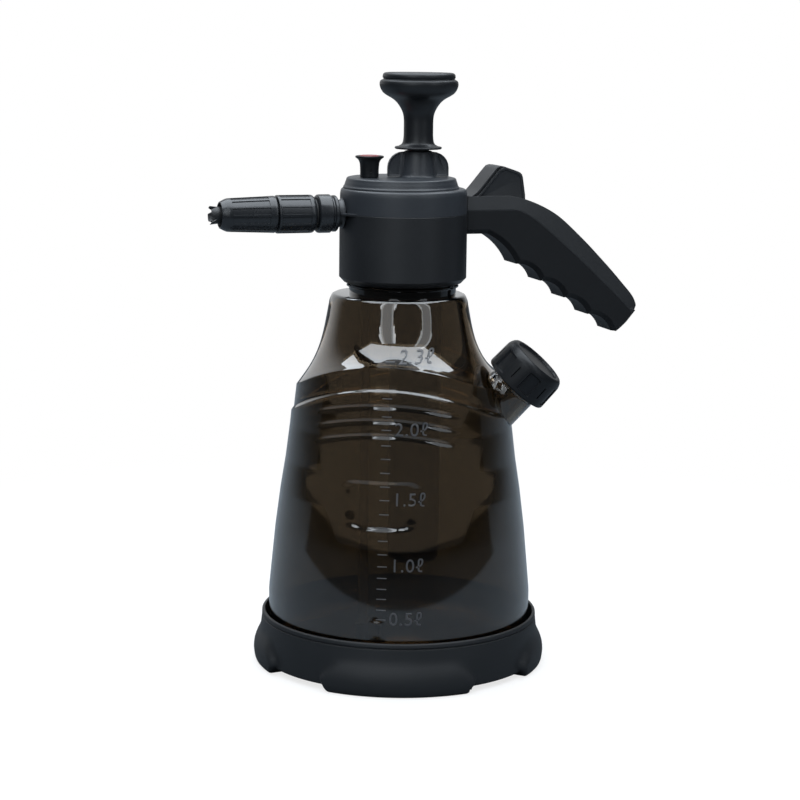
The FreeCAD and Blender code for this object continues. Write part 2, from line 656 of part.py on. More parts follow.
def cover_section(share, y):
    """Side outline of the cover at a place across the handle, its crest lowered by a share of its height."""
    split_line = Part.BSplineCurve()
    split_line.interpolate([V(x, 0, z) for x, z in [SPLIT_ROOT] + HANDLE_SPLIT])
    split_line = split_line.toShape()
    crest = []
    for point in HANDLE_TOP:
        near = split_line.distToShape(Part.Vertex(V(point[0], 0, point[1])))[1][0][0]
        crest.append((point[0] + share * (near.x - point[0]), point[1] + share * (near.z - point[1])))
    split = list(reversed(HANDLE_SPLIT[:-1]))
    top = COVER_TOP - share * (COVER_TOP - SPLIT_ROOT[1])
    wire = outline((HANDLE_ROOT, SPLIT_ROOT[1]), [(HANDLE_ROOT, top), (60.0, top), crest, COVER_TIP,
                                                  SHELL_CORNER, HANDLE_SPLIT[-1], split + [SPLIT_ROOT]])
    wire.translate(V(0, y, 0))
    return wire


def top_grooves(half):
    """Cutters for the grooves across the handle's top."""
    crest = Part.BSplineCurve()
    crest.interpolate([V(x, 0, z) for x, z in HANDLE_TOP])
    marks = crest.toShape().discretize(Distance=RIB_PITCH)[4:-1]
    cutters = []
    for here, there in zip(marks, marks[1:]):
        run = there - here
        cutter = block(-0.7, 0.7, -half, half, -RIB_DEPTH, 3)
        lean = math.degrees(math.atan2(-run.z, run.x))
        cutters.append(moved(turned(cutter, lean, Y_AXIS), here.x, 0, here.z))
    return Part.Compound(cutters)


def handle_cover():
    inner = COVER_CREST_HALF
    sections = [cover_section(COVER_LEAN, -HANDLE_HALF), cover_section(0, -inner), cover_section(0, inner),
                cover_section(COVER_LEAN, HANDLE_HALF)]
    solid = Part.makeLoft(sections, True, True)
    slot = block(20, 72.2, -SLOT_HALF, SLOT_HALF, 250, 290)
    holes = [rod(1.45, z1 - 8, z1 + 3.5, x) for x, z0, z1 in SCREW_POSTS]
    bare = solid.cut(fused(slot, rod(HEAD_RADIUS, 200, 300))).cut(Part.Compound(holes))
    return in_head(bare.cut(top_grooves(inner - 1.0)))


def handle_screws():
    screws = []
    for x, z0, z1 in SCREW_POSTS:
        shank = rod(1.4, z0 + 1.0, z1 + 3.0, x)
        head = rod(2.9, z0 - 0.8, z0 + 1.0, x).cut(block(x - 3, x + 3, -0.4, 0.4, z0 - 1, z0 + 0.2))
        screws.append(fused(shank, head))
    return in_head(Part.Compound(screws))


# ---- trigger ----
def trigger():
    half = TRIGGER_HALF
    fin = slab((37.4, 268.0), [(37.4, 272.4), (41.0, 274.8), (43.2, 277.1), (52.0, 287.7), ((53.2, 288.9),
                               (55.0, 289.4)), (57.0, 289.4), (65.8, 286.5), ((68.0, 285.2), (69.0, 283.0)),
                               (70.6, 272.8), (70.8, 267.0)], half)
    edges = long_edges(fin, half, lambda p: p.z > 271)
    fin = fin.makeChamfer(1.2, edges)
    hollow = slab((41.5, 264), [(41.5, 271.6), (44.8, 275.2), (53.5, 285.8), (56.8, 286.8), (64.6, 284.2),
                                (66.8, 282.0), (68.2, 272.6), (68.2, 264)], half - 2.2)
    lever = slab((43.0, 276), [(43.0, PIVOT[1]), ((PIVOT[0], PIVOT[1] - 4.2), (51.2, PIVOT[1])),
                               (52.0, 276)], half)
    arm = slab((43.2, PIVOT[1] + 2), [(43.0, PIVOT[1] - 2), (43.3, LINK_Z - 1.0), ((44.6, LINK_Z - 1.3),
                                      (45.9, LINK_Z - 1.0)), (49.5, PIVOT[1] - 2), (49.5, PIVOT[1] + 2)], 2.0)
    gap = block(38, 56, -6.2, -2.4, 255, 266.5).fuse(block(38, 56, 2.4, 6.2, 255, 266.5))
    pin = crosswise(PIN_RADIUS + 0.1, 20)
    ears = lever.cut(block(30, 60, -2.4, 2.4, 250, 300))
    shell = fin.cut(hollow)
    body = fused(shell, ears.cut(gap), slab((43.2, 275), [(43.2, 262), (49.5, 262), (49.5, 281)], 2.0).common(
        fused(fin, lever)), arm)
    return in_head(body.cut(pin))


def trigger_pin():
    return in_head(crosswise(PIN_RADIUS, PIN_HALF))


def trigger_spring():
    place = V(PIVOT[0], 5.8, PIVOT[1])
    return in_head(coil(2.4, 0.35, 3.0, 3, place, V(0, -1, 0)))


def link_path():
    """Corners of the push link, which passes beside the pump cylinder."""
    side = 18.6
    return [V(-21.0, 0, NOZZLE_Z), V(-12.8, 0, NOZZLE_Z), V(-9.5, side, 258.0), V(23.0, side, 256.5),
            V(28.5, 0, LINK_Z), V(43.0, 0, LINK_Z)]


def push_link():
    corners = link_path()
    pieces = []
    for here, there in zip(corners, corners[1:]):
        run = there - here
        pieces.append(Part.makeCylinder(LINK_RADIUS, run.Length, here, run))
    for corner in corners[1:-1]:
        pieces.append(Part.makeSphere(LINK_RADIUS, corner))
    stem = forward(rod(LINK_RADIUS, 20.5, 27.5))
    plug = forward(spin((0, 27.0), [(3.4, 27.0), (3.4, 29.3), (1.7, 31.2), (0, 31.2)]))
    return in_head(fused(stem, plug, *pieces))


def valve_seal():
    return on_nozzle(ring(3.8, LINK_RADIUS + 0.1, 16.6, 18.2))


def valve_spring():
    return on_nozzle(coil(2.6, 0.25, 2.0, 3, V(0, 0, 24.4)))


def link_seal():
    return in_head(outward(ring(4.0, LINK_RADIUS + 0.1, 31.0, 32.8), LINK_Z))


PARTS = [base_boot, bottle, filler_cap, filler_gasket, head_body, head_gasket, lid, pump_cylinder,
         pump_cylinder_seal, rod_bush, pump_cap, check_cage, check_disc, piston, piston_seal, pump_rod,
         pump_knob, knob_cap, relief_post, relief_stem, relief_seal, relief_spring, relief_knob,
         relief_button, valve_body, dip_tube, dip_filter, nozzle_collar, nozzle_oring, nozzle_body,
         nozzle_jet, foam_screens, nozzle_sleeve, nozzle_tip, handle_shell, handle_cover, handle_screws,
         trigger, trigger_pin, trigger_spring, push_link, valve_seal, valve_spring, link_seal]

os.makedirs("parts", exist_ok=True)
for part in PARTS:
    shape = part()
    save(part.__name__, shape)
    print(part.__name__, len(shape.Solids), round(shape.Volume), shape.isValid())
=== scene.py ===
import json
import math

import bpy
import numpy as np
from mathutils import Matrix, Vector


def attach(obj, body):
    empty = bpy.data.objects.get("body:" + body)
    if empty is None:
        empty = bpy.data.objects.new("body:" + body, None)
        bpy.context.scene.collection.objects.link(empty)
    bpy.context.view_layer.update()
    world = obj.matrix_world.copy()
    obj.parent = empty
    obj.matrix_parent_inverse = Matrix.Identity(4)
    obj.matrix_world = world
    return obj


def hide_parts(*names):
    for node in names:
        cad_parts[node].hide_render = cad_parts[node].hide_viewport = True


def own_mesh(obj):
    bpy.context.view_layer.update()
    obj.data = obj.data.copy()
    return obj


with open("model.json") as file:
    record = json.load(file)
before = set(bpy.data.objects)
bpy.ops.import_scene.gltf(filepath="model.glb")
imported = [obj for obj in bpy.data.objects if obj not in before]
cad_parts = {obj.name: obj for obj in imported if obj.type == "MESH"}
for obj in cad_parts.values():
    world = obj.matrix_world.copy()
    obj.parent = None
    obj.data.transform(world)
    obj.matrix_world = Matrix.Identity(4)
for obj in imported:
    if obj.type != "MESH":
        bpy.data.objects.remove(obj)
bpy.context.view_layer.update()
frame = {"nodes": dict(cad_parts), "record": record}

mm = 0.001
upAxis = (0, 0, 1)
weldGap = 0.002 * mm  # points closer than this become one


def yawed(degrees):
    return Matrix.Rotation(math.radians(degrees), 4, "Z")


def leaned(degrees):
    return Matrix.Rotation(math.radians(degrees), 4, "Y")


def shifted(x, y, z):  # in millimetres
    return Matrix.Translation((x * mm, y * mm, z * mm))


places = dict(headYaw=18, bottleYaw=-9, pumpAt=8.4, nozzleHeight=262.9, spoutAt=66.5, spoutHeight=165.65,
              spoutLean=42)
tipped = Matrix.Rotation(math.pi / 2, 4, "X")  # turns what points up to the front
headPlace = yawed(places["headYaw"])  # head pieces are modelled with the handle along +X
bottlePlace = yawed(places["bottleYaw"])
pumpPlace = headPlace @ shifted(places["pumpAt"], 0, 0)
nozzlePlace = headPlace @ shifted(0, 0, places["nozzleHeight"]) @ leaned(-90)
spoutPlace = bottlePlace @ shifted(places["spoutAt"], 0, places["spoutHeight"]) @ leaned(places["spoutLean"])


# modelling helpers

def deselect():
    bpy.ops.object.select_all(action="DESELECT")


def pick(obj):
    deselect()
    obj.select_set(True)
    bpy.context.view_layer.objects.active = obj


def edit(obj):
    pick(obj)
    bpy.ops.object.mode_set(mode="EDIT")
    bpy.ops.mesh.select_all(action="SELECT")


def leaveEdit():
    bpy.ops.object.mode_set(mode="OBJECT")


def startPoint(name, x, z):  # a new piece, so far one point in the XZ plane
    deselect()
    bpy.ops.mesh.primitive_plane_add(size=mm)
    obj = bpy.context.object
    obj.name = name
    obj.data.name = name
    edit(obj)
    bpy.ops.mesh.merge(type="CENTER")
    bpy.ops.transform.translate(value=(x * mm, 0, z * mm))
    return obj


def drawLine(points):  # from the first point to each next one, in millimetres
    for (x0, z0), (x1, z1) in zip(points, points[1:]):
        step = ((x1 - x0) * mm, 0, (z1 - z0) * mm)
        bpy.ops.mesh.extrude_vertices_move(TRANSFORM_OT_translate={"value": step})


def clean(obj):
    edit(obj)
    bpy.ops.mesh.remove_doubles(threshold=weldGap)
    bpy.ops.mesh.normals_make_consistent(inside=False)
    leaveEdit()


def flowing(points, rounds=2):  # cuts the corners of a line until it reads as a curve; the ends stay
    for turn in range(rounds):
        cut = [points[0]]
        for (x0, z0), (x1, z1) in zip(points, points[1:]):
            cut.append((0.75 * x0 + 0.25 * x1, 0.75 * z0 + 0.25 * z1))
            cut.append((0.25 * x0 + 0.75 * x1, 0.25 * z0 + 0.75 * z1))
        points = cut + [points[-1]]
    return points


def platePiece(name, points, low, high):  # a flat outline in the XZ plane, given thickness along Y
    obj = startPoint(name, *points[0])
    drawLine(points + [points[0]])
    bpy.ops.mesh.select_all(action="SELECT")
    bpy.ops.mesh.remove_doubles(threshold=weldGap)
    bpy.ops.mesh.edge_face_add()
    bpy.ops.transform.translate(value=(0, low * mm, 0))
    bpy.ops.mesh.extrude_region_move(TRANSFORM_OT_translate={"value": (0, (high - low) * mm, 0)})
    leaveEdit()
    clean(obj)
    return obj


def turnedPiece(name, points, steps=96):  # spun round the Z axis
    obj = startPoint(name, *points[0])
    drawLine(points)
    bpy.ops.mesh.select_all(action="SELECT")
    bpy.ops.mesh.spin(steps=steps, angle=2 * math.pi, center=(0, 0, 0), axis=upAxis)
    leaveEdit()
    clean(obj)
    return obj


def modify(obj, kind, **settings):
    pick(obj)
    modifier = obj.modifiers.new(kind.title(), kind)
    for key, value in settings.items():
        setattr(modifier, key, value)
    bpy.ops.object.modifier_apply(modifier=modifier.name)


def roundEdges(obj, width, segments, angle):
    modify(obj, "BEVEL", width=width * mm, segments=segments, limit_method="ANGLE",
           angle_limit=math.radians(angle), use_clamp_overlap=True)


def smooth(obj, angle):
    pick(obj)
    bpy.ops.object.shade_smooth_by_angle(angle=math.radians(angle))


def settle(obj, place):  # puts a finished piece in its place, held in its mesh
    obj.data.transform(place)
    obj.data.update()
    return obj


def combine(obj, other, operation):
    modify(obj, "BOOLEAN", operation=operation, object=other, solver="MANIFOLD")
    bpy.data.objects.remove(other, do_unlink=True)


def readPoints(obj):  # in millimetres
    co = np.empty(len(obj.data.vertices) * 3)
    obj.data.vertices.foreach_get("co", co)
    return co.reshape(-1, 3) / mm


def writePoints(obj, co):
    obj.data.vertices.foreach_set("co", (co * mm).ravel())
    obj.data.update()


def chooseFaces(obj, test):  # into edit mode, with the faces selected whose centre, in millimetres, passes
    pick(obj)
    bpy.context.tool_settings.mesh_select_mode = (False, False, True)
    bpy.ops.object.mode_set(mode="EDIT")
    bpy.ops.mesh.select_all(action="DESELECT")
    leaveEdit()
    for face in obj.data.polygons:
        face.select = bool(test(face.center / mm))
    bpy.ops.object.mode_set(mode="EDIT")


def leaveFaces():
    leaveEdit()
    bpy.context.tool_settings.mesh_select_mode = (True, False, False)


def pressIn(obj, test, rim, depth):  # panels sunk into a piece
    chooseFaces(obj, test)
    bpy.ops.mesh.inset(thickness=rim * mm, depth=-depth * mm)
    leaveFaces()


def offAxis(point):
    return math.hypot(point.x, point.y)


def offPitch(point, count, phase):  # degrees from the nearest of a count of equal turns
    turn = math.degrees(math.atan2(point[1], point[0])) - phase
    pitch = 360 / count
    return abs((turn + pitch / 2) % pitch - pitch / 2)


def finishPiece(obj, body, slot, material, *nodes):
    obj.data.materials.clear()
    obj.data.materials.append(material)
    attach(obj, body)
    if nodes:
        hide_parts(*nodes)
    return obj


# shader helpers

class Socket:  # a shader output that can be used in sums
    def __init__(self, maker, link):
        self.maker = maker
        self.link = link

    def math(self, operation, first, second):
        return self.maker.node("ShaderNodeMath", {"operation": operation}, {0: first, 1: second})

    def __add__(self, other):
        return self.math("ADD", self, other)

    def __mul__(self, other):
        return self.math("MULTIPLY", self, other)


class Shading:  # a node tree
    def __init__(self, tree):
        self.tree = tree

    def node(self, kind, settings=None, inputs=None, output=0):
        made = self.tree.nodes.new(kind)
        for key, value in (settings or {}).items():
            setattr(made, key, value)
        for key, value in (inputs or {}).items():
            self.connect(made.inputs[key], value)
        return Socket(self, made.outputs[output])

    def connect(self, target, value):
        if isinstance(value, Socket):
            self.tree.links.new(value.link, target)
        else:
            target.default_value = value

    def lightPath(self, ray):
        return self.node("ShaderNodeLightPath", output=ray)

    def ramp(self, value, low, high):
        return self.node("ShaderNodeMapRange", {"interpolation_type": "SMOOTHSTEP"},
                         {"Value": value, "From Min": low, "From Max": high})

    def mixed(self, factor, first, second):
        return self.node("ShaderNodeMixShader", {}, {0: factor, 1: first, 2: second})


class Finish(Shading):  # a material with one Principled shader
    def __init__(self, name, **fixed):
        self.material = bpy.data.materials.new(name)
        self.material.use_nodes = True
        super().__init__(self.material.node_tree)
        self.shader = self.tree.nodes["Principled BSDF"]
        for key, value in fixed.items():
            self.put(key, value)

    def put(self, key, value):
        self.connect(self.shader.inputs[key.replace("_", " ")], value)

    def place(self):
        return self.node("ShaderNodeTexCoord", output="Object")

    def noise(self, scale, detail=2.0):
        return self.node("ShaderNodeTexNoise", {}, {"Vector": self.place(), "Scale": scale, "Detail": detail,
                                                    "Roughness": 0.5})

    def above(self, height, blur):  # 1 above a height in millimetres, 0 below it
        z = self.node("ShaderNodeSeparateXYZ", {}, {0: self.place()}, "Z")
        return self.ramp(z, (height - blur) * mm, (height + blur) * mm)

    def blend(self, factor, first, second):
        return self.node("ShaderNodeMix", {"data_type": "RGBA"}, {0: factor, 6: first, 7: second}, 2)

    def bump(self, height, strength, distance, under=None):
        inputs = {"Height": height, "Strength": strength, "Distance": distance * mm}
        if under:
            inputs["Normal"] = under
        return self.node("ShaderNodeBump", {}, inputs)

    def edges(self, radius):
        return self.node("ShaderNodeBevel", {"samples": 4}, {"Radius": radius * mm})


def toned(colour, gain):
    return tuple(channel * gain for channel in colour[:3]) + (1.0,)


def mouldedPlastic(name, colour, roughness, grain=900.0, depth=0.03, edge=0.35, ior=1.62,
                   paintedLightFrom=None, pale=1.0):
    finish = Finish(name, IOR=ior)
    cloud = finish.noise(55.0, 3.0)
    fine = finish.noise(grain)
    tint = finish.blend(cloud, toned(colour, 0.85), toned(colour, 1.18))
    if paintedLightFrom:  # painted light: above this height the colour is made paler, for the light that falls from above on the head's upper ring and on the lid and wing nut, which share this finish
        tint = finish.blend(finish.above(paintedLightFrom, 0.1), tint, toned(colour, pale))
    finish.put("Base_Color", tint)
    finish.put("Roughness", cloud * 0.07 + fine * 0.04 + (roughness - 0.055))
    finish.put("Normal", finish.bump(fine, 0.35, depth, finish.edges(edge)))
    return finish.material


plastics = {
    "boot": dict(colour=(0.0066, 0.0078, 0.0094), roughness=0.52, grain=1300.0, depth=0.05, edge=0.5,
                 ior=1.48),
    # the head finish is painted paler above 263 mm: painted light from above
    "head": dict(colour=(0.0054, 0.0063, 0.0077), roughness=0.42, grain=1100.0, depth=0.03,
                 paintedLightFrom=263.0, pale=3.6),
    "knob": dict(colour=(0.0058, 0.0068, 0.0084), roughness=0.38, grain=1100.0, depth=0.03, ior=1.52),
    "cap": dict(colour=(0.0046, 0.0054, 0.0066), roughness=0.36, grain=1000.0, depth=0.03, ior=1.4),
    "nozzle": dict(colour=(0.0090, 0.0105, 0.0125), roughness=0.27, grain=1000.0, depth=0.02, edge=0.1),
    "tip": dict(colour=(0.0033, 0.0036, 0.0040), roughness=0.45, edge=0.2),
    "handle": dict(colour=(0.0062, 0.0074, 0.0092), roughness=0.46, grain=1500.0, depth=0.06),
    "shell": dict(colour=(0.0040, 0.0048, 0.0060), roughness=0.58, grain=1500.0, depth=0.06, ior=1.4),
    "rod": dict(colour=(0.0044, 0.0049, 0.0057), roughness=0.25, edge=0.2),
    "inner": dict(colour=(0.0200, 0.0200, 0.0205), roughness=0.42),
    "seal": dict(colour=(0.0052, 0.0052, 0.0052), roughness=0.60),
    "button": dict(colour=(0.2100, 0.0130, 0.0180), roughness=0.33, edge=0.2),
}
finishes = {key: mouldedPlastic(key + "Plastic", **values) for key, values in plastics.items()}


def springSteel():
    finish = Finish("springSteel", Metallic=1.0, IOR=2.5)
    streaks = finish.noise(2500.0)
    finish.put("Base_Color", finish.blend(streaks, (0.42, 0.42, 0.43, 1), (0.62, 0.62, 0.63, 1)))
    finish.put("Roughness", streaks * 0.2 + 0.22)
    finish.put("Normal", finish.bump(streaks, 0.2, 0.01))
    return finish.material


def tintedBottle(name, colour, roughness, paintedShadeFrom):  # painted shade: above this height the colour is cut to a dark tone, for the shade under the head on the neck and on the shoulder ring's top; the neck's thicker wall adds some real darkening
    finish = Finish(name, IOR=1.55, Transmission_Weight=1.0, Coat_Weight=1.0, Coat_IOR=1.6,
                    Coat_Roughness=0.02)
    flow = finish.noise(18.0)
    tint = finish.blend(flow, toned(colour, 0.9), toned(colour, 1.1))
    finish.put("Base_Color", finish.blend(finish.above(paintedShadeFrom, 0.5), tint, toned(colour, 0.12)))
    finish.put("Roughness", flow * 0.02 + roughness)
    finish.put("Normal", finish.bump(flow, 0.12, 0.6))
    return finish.material


def clearTube():
    finish = Finish("clearTube", IOR=1.45, Transmission_Weight=0.85)
    haze = finish.noise(60.0)
    finish.put("Base_Color", finish.blend(haze, (0.62, 0.62, 0.60, 1), (0.72, 0.72, 0.70, 1)))
    finish.put("Roughness", haze * 0.1 + 0.12)
    return finish.material


finishes["steel"] = springSteel()
finishes["tube"] = clearTube()
# the bottle is painted darker above 215.5 mm: painted shade under the head
finishes["bottle"] = tintedBottle("smokeBottle", (0.215, 0.160, 0.100), 0.02, 215.5)
finishes["mark"] = mouldedPlastic("markPlastic", (0.055, 0.055, 0.058), 0.35)

slotFinish = {
    "boot_rubber": "boot", "bottle_tint": "bottle", "cap_black": "cap", "head_black": "head",
    "knob_black": "knob", "rod_black": "rod", "nozzle_black": "nozzle", "tip_black": "tip",
    "handle_black": "handle", "button_red": "button", "inner_plastic": "inner", "tube_clear": "tube",
    "seal_rubber": "seal", "spring_steel": "steel",
}
for row in frame["record"]["subparts"]:
    node = frame["nodes"][row["node"]]
    node.data.materials.clear()
    key = "shell" if row["node"] == "handle_shell" else slotFinish[row["material_slot"]]
    node.data.materials.append(finishes[key])
print("materials ready")


# bottle

bottle = dict(
    wall=1.8, floor=6.0, archRadius=105.0, outerArch=181.8, innerArch=169.3, shoulder=216.4,
    archFoot=(104, 146), archHead=(186, 217),  # heights over which the arches come and go
    coneRadius=43.9, coneHeight=190, coneSlope=0.182, coneShift=-2.2, flarePower=4.0, flareHeight=28.0,
    neckRoot=30.8, neckCrest=32.2, neckBore=27.7, neckTop=240.0, threads=(220.6, 224.2, 227.8, 231.4),
    keyFoot=33.6, keyTop=41.0, keyHeight=1.0, keyWidth=0.9,
    ribs=(160.4, 152.4, 144.2), ribDrop=0.0039, ribDepth=0.55, ribWidth=1.7, ribReach=40.0,
    labelTop=118.5, labelFoot=92.5, labelWide=20.5, labelNarrow=16.8, labelRound=5.0, labelDepth=0.8,
    spoutRadius=14.75, spoutBore=10.8, mouthRadius=13.25,
    frontSteps=150, frontAngle=56.0, backSteps=120,
)
bandLine = ((70.0, 90), (62.8, 145), (60.8, 163), (58.2, 190))
panelLine = ((76.4, 43), (72.8, 80), (69.8, 103), (66.9, 121), (64.4, 141), (61.6, 170), (58.0, 195))


def along(line, z):  # radius of a profile line at a height
    return np.interp(z, [p[1] for p in line], [p[0] for p in line])


def ease(low, high, value):
    t = np.clip((value - low) / (high - low), 0, 1)
    return t * t * (3 - 2 * t)


def archDrop(x, level):
    r = bottle["archRadius"]
    weight = ease(*bottle["archFoot"], level) * (1 - ease(*bottle["archHead"], level))
    return weight * (r - np.sqrt(r * r - np.minimum(np.abs(x), 75.0) ** 2))


def flareShare(level):  # 0 at the outer arch, 1 where the cone is reached
    return np.clip((level - bottle["outerArch"]) / bottle["flareHeight"], 0, 1)


def labelDent(x, z):  # 1 inside the bare label recess, a rounded trapezium
    b = bottle
    middle = (b["labelTop"] + b["labelFoot"]) / 2
    halfHeight = (b["labelTop"] - b["labelFoot"]) / 2
    widening = b["labelWide"] - b["labelNarrow"]
    halfWidth = b["labelNarrow"] + widening * (z - b["labelFoot"]) / (2 * halfHeight)
    dx = np.maximum(np.abs(x) - halfWidth + b["labelRound"], 0)
    dz = np.maximum(np.abs(z - middle) - halfHeight + b["labelRound"], 0)
    return 1 - ease(b["labelRound"] - 0.9, b["labelRound"] + 0.5, np.hypot(dx, dz))


def wallRadius(x, level, z, inset):  # level is the height that the place has on the front's centre line
    b = bottle
    cone = b["coneRadius"] + (b["coneHeight"] - z) * b["coneSlope"]
    band = along(bandLine, z)
    panel = along(panelLine, z)
    flare = cone + (band - cone) * (1 - flareShare(level)) ** b["flarePower"]
    radius = np.where(level > b["outerArch"], flare, band)
    step = ease(b["innerArch"] + 0.6, b["innerArch"] - 0.8, level)
    radius = radius + (panel - radius) * step
    if inset:
        return radius - inset
    reach = 1 - ease(b["ribReach"] - 10, b["ribReach"], np.abs(x))
    for top in b["ribs"]:
        dent = np.exp(-((z - top + b["ribDrop"] * x * x) / b["ribWidth"] * 2) ** 2)
        radius = radius - b["ribDepth"] * dent * reach
    key = np.exp(-(x / b["keyWidth"]) ** 4) * ease(b["keyFoot"] - 0.8, b["keyFoot"], z)
    radius = radius + b["keyHeight"] * key * (1 - ease(b["keyTop"], b["keyTop"] + 0.8, z))
    return radius - b["labelDepth"] * labelDent(x, z)


def coneShift(level):  # the upper cone stands a little off the neck, away from the spout
    return bottle["coneShift"] * (1 - (1 - flareShare(level)) ** 3)


def heights(*runs):
    return [z for low, high, step in runs for z in np.arange(low, high, step)]


def skin(name, profile, mark, inset):  # a closed form: points at the radius mark move out to the arched wall
    b = bottle
    obj = startPoint(name, *profile[0])
    drawLine(profile)
    half = math.radians(b["frontAngle"])
    bpy.ops.mesh.select_all(action="SELECT")
    bpy.ops.transform.rotate(value=math.radians(90) + half, orient_axis="Z", center_override=(0, 0, 0))
    bpy.ops.mesh.spin(steps=b["frontSteps"], angle=2 * half, center=(0, 0, 0), axis=upAxis)
    bpy.ops.mesh.spin(steps=b["backSteps"], angle=2 * math.pi - 2 * half, center=(0, 0, 0), axis=upAxis)
    leaveEdit()
    clean(obj)
    co = readPoints(obj)
    mine = np.abs(np.hypot(co[:, 0], co[:, 1]) - mark) < 1e-3
    turn = np.arctan2(co[mine, 0], -co[mine, 1])
    level = co[mine, 2]
    radius = along(bandLine, level)
    for step in range(6):
        x = radius * np.sin(turn)
        z = level - archDrop(x, level)
        radius = wallRadius(x, level, z, inset)
    edge = ~mine & (np.hypot(co[:, 0], co[:, 1]) > 34) & (co[:, 2] > b["shoulder"] - 6)
    co[edge, 0] += b["coneShift"]
    co[mine] = np.stack([radius * np.sin(turn) + coneShift(level), -radius * np.cos(turn), z], 1)
    writePoints(obj, co)
    return obj


def addBottle():
    b = bottle
    foot, top, end = b["floor"], b["shoulder"], b["neckTop"]
    root, crest = b["neckRoot"], b["neckCrest"]
    outerMark, innerMark = 70, 60  # stand-in radii of the two walls
    line = [(0, foot), (69.9, foot), (72.9, foot + 0.6), (75.5, foot + 2.3), (77.2, foot + 4.9)]
    line.append((77.9, foot + 8))
    line += [(outerMark, z) for z in heights(
        (18, 33, 3), (33, 42, 0.5), (42, 90, 3), (90, 121, 0.7), (121, 141, 1.5), (141, 167, 0.6),
        (167, 171, 0.35), (171, 180, 1), (180, 184, 0.35), (184, 213.8, 1.6))]
    line += [(38.9, top - 1.6), (38.3, top - 0.7), (37.3, top - 0.15), (36.2, top), (root, top)]
    for z in b["threads"]:
        line += [(root, z - 0.3), (crest, z + 0.3), (crest, z + 1.2), (root, z + 1.8)]
    line += [(root, end - 0.5), (root - 0.5, end), (0, end)]
    obj = skin("bottleShell", line, outerMark, 0)
    line = [(0, end + 2), (b["neckBore"], end + 2), (b["neckBore"], top - b["wall"]), (37.2, top - b["wall"])]
    line += [(innerMark, z) for z in heights((213, 184, -3), (184, 176, -1), (176, 160, -2), (160, 18, -6))]
    line += [(76.1, foot + 8.5), (74.6, foot + 4.6), (72.2, foot + 2.7), (69.5, foot + 2), (0, foot + 2)]
    hollow = skin("bottleHollow", line, innerMark, b["wall"])
    spout = turnedPiece("spout", [(0, -40), (b["spoutRadius"], -40), (b["spoutRadius"], -3), (14.4, -2.2),
                                  (b["mouthRadius"], -2.2), (b["mouthRadius"], 13.4), (12.7, 14), (0, 14)])
    bore = turnedPiece("bore", [(0, -45), (b["spoutBore"], -45), (b["spoutBore"], 16), (0, 16)])
    for piece in (spout, bore):
        settle(piece, bottlePlace.inverted() @ spoutPlace)
    combine(obj, spout, "UNION")
    combine(hollow, bore, "UNION")
    combine(obj, hollow, "DIFFERENCE")
    settle(obj, bottlePlace)
    smooth(obj, 40)
    return finishPiece(obj, "base", "bottle_tint", finishes["bottle"], "bottle")


def onWall(obj, proud):  # wraps a flat piece, drawn in the XZ plane, on the front of the bottle
    co = readPoints(obj)
    x, depth, z = co.T
    level = z.copy()
    for step in range(6):
        x = co[:, 0] - coneShift(level)
        level = z + archDrop(x, level)
    radius = wallRadius(x, level, z, 0) + proud - depth
    writePoints(obj, np.stack([x + coneShift(level), -np.sqrt(radius ** 2 - x ** 2), z], 1))


scale = dict(
    left=2.0, tickHalf=2.7, tickHeight=0.5, thickness=0.5, proud=0.25, textLeft=6.5, textSize=10.2,
    ticks=(184.5, 165.0, 155.0, 147.6, 139.0, 131.6, 123.9, 116.2, 108.8, 101.0, 93.7, 86.6, 79.1, 72.4,
           66.0, 59.9, 54.3, 48.2, 42.8),
    numbers=(("2.3", 186.4), ("2.0", 147.7), ("1.5", 109.0), ("1.0", 72.8), ("0.5", 43.0)),
)


def addScale():
    pieces = []
    for z in scale["ticks"]:
        bpy.ops.mesh.primitive_plane_add(size=1)
        tick = bpy.context.object
        edit(tick)
        bpy.ops.transform.resize(value=(2 * scale["tickHalf"] * mm, scale["tickHeight"] * mm, 1))
        bpy.ops.transform.rotate(value=-math.pi / 2, orient_axis="X", center_override=(0, 0, 0))
        bpy.ops.mesh.subdivide(number_cuts=2)
        bpy.ops.transform.translate(value=(scale["left"] * mm, 0, z * mm))
        leaveEdit()
        pieces.append(tick)
    for words, z in scale["numbers"]:
        bpy.ops.object.text_add()
        text = bpy.context.object
        text.data.body = words + "\u2113"
        text.data.size = scale["textSize"] * mm
        text.data.space_character = 1.1
        text.data.align_y = "CENTER"
        bpy.ops.object.convert(target="MESH")
        number = bpy.context.object
        number.data.transform(shifted(scale["textLeft"], 0, z) @ tipped)
        pieces.append(number)
    deselect()
    for piece in pieces:
        piece.select_set(True)
    bpy.context.view_layer.objects.active = pieces[0]
    bpy.ops.object.join()
    obj = bpy.context.object
    obj.name = "volumeScale"
    modify(obj, "SOLIDIFY", thickness=scale["thickness"] * mm, offset=0)
    onWall(obj, scale["proud"] - scale["thickness"] / 2)
    settle(obj, bottlePlace)
    smooth(obj, 30)
    return finishPiece(obj, "base", "bottle_tint", finishes["mark"])


addBottle()
addScale()
print("bottle ready")


# boot

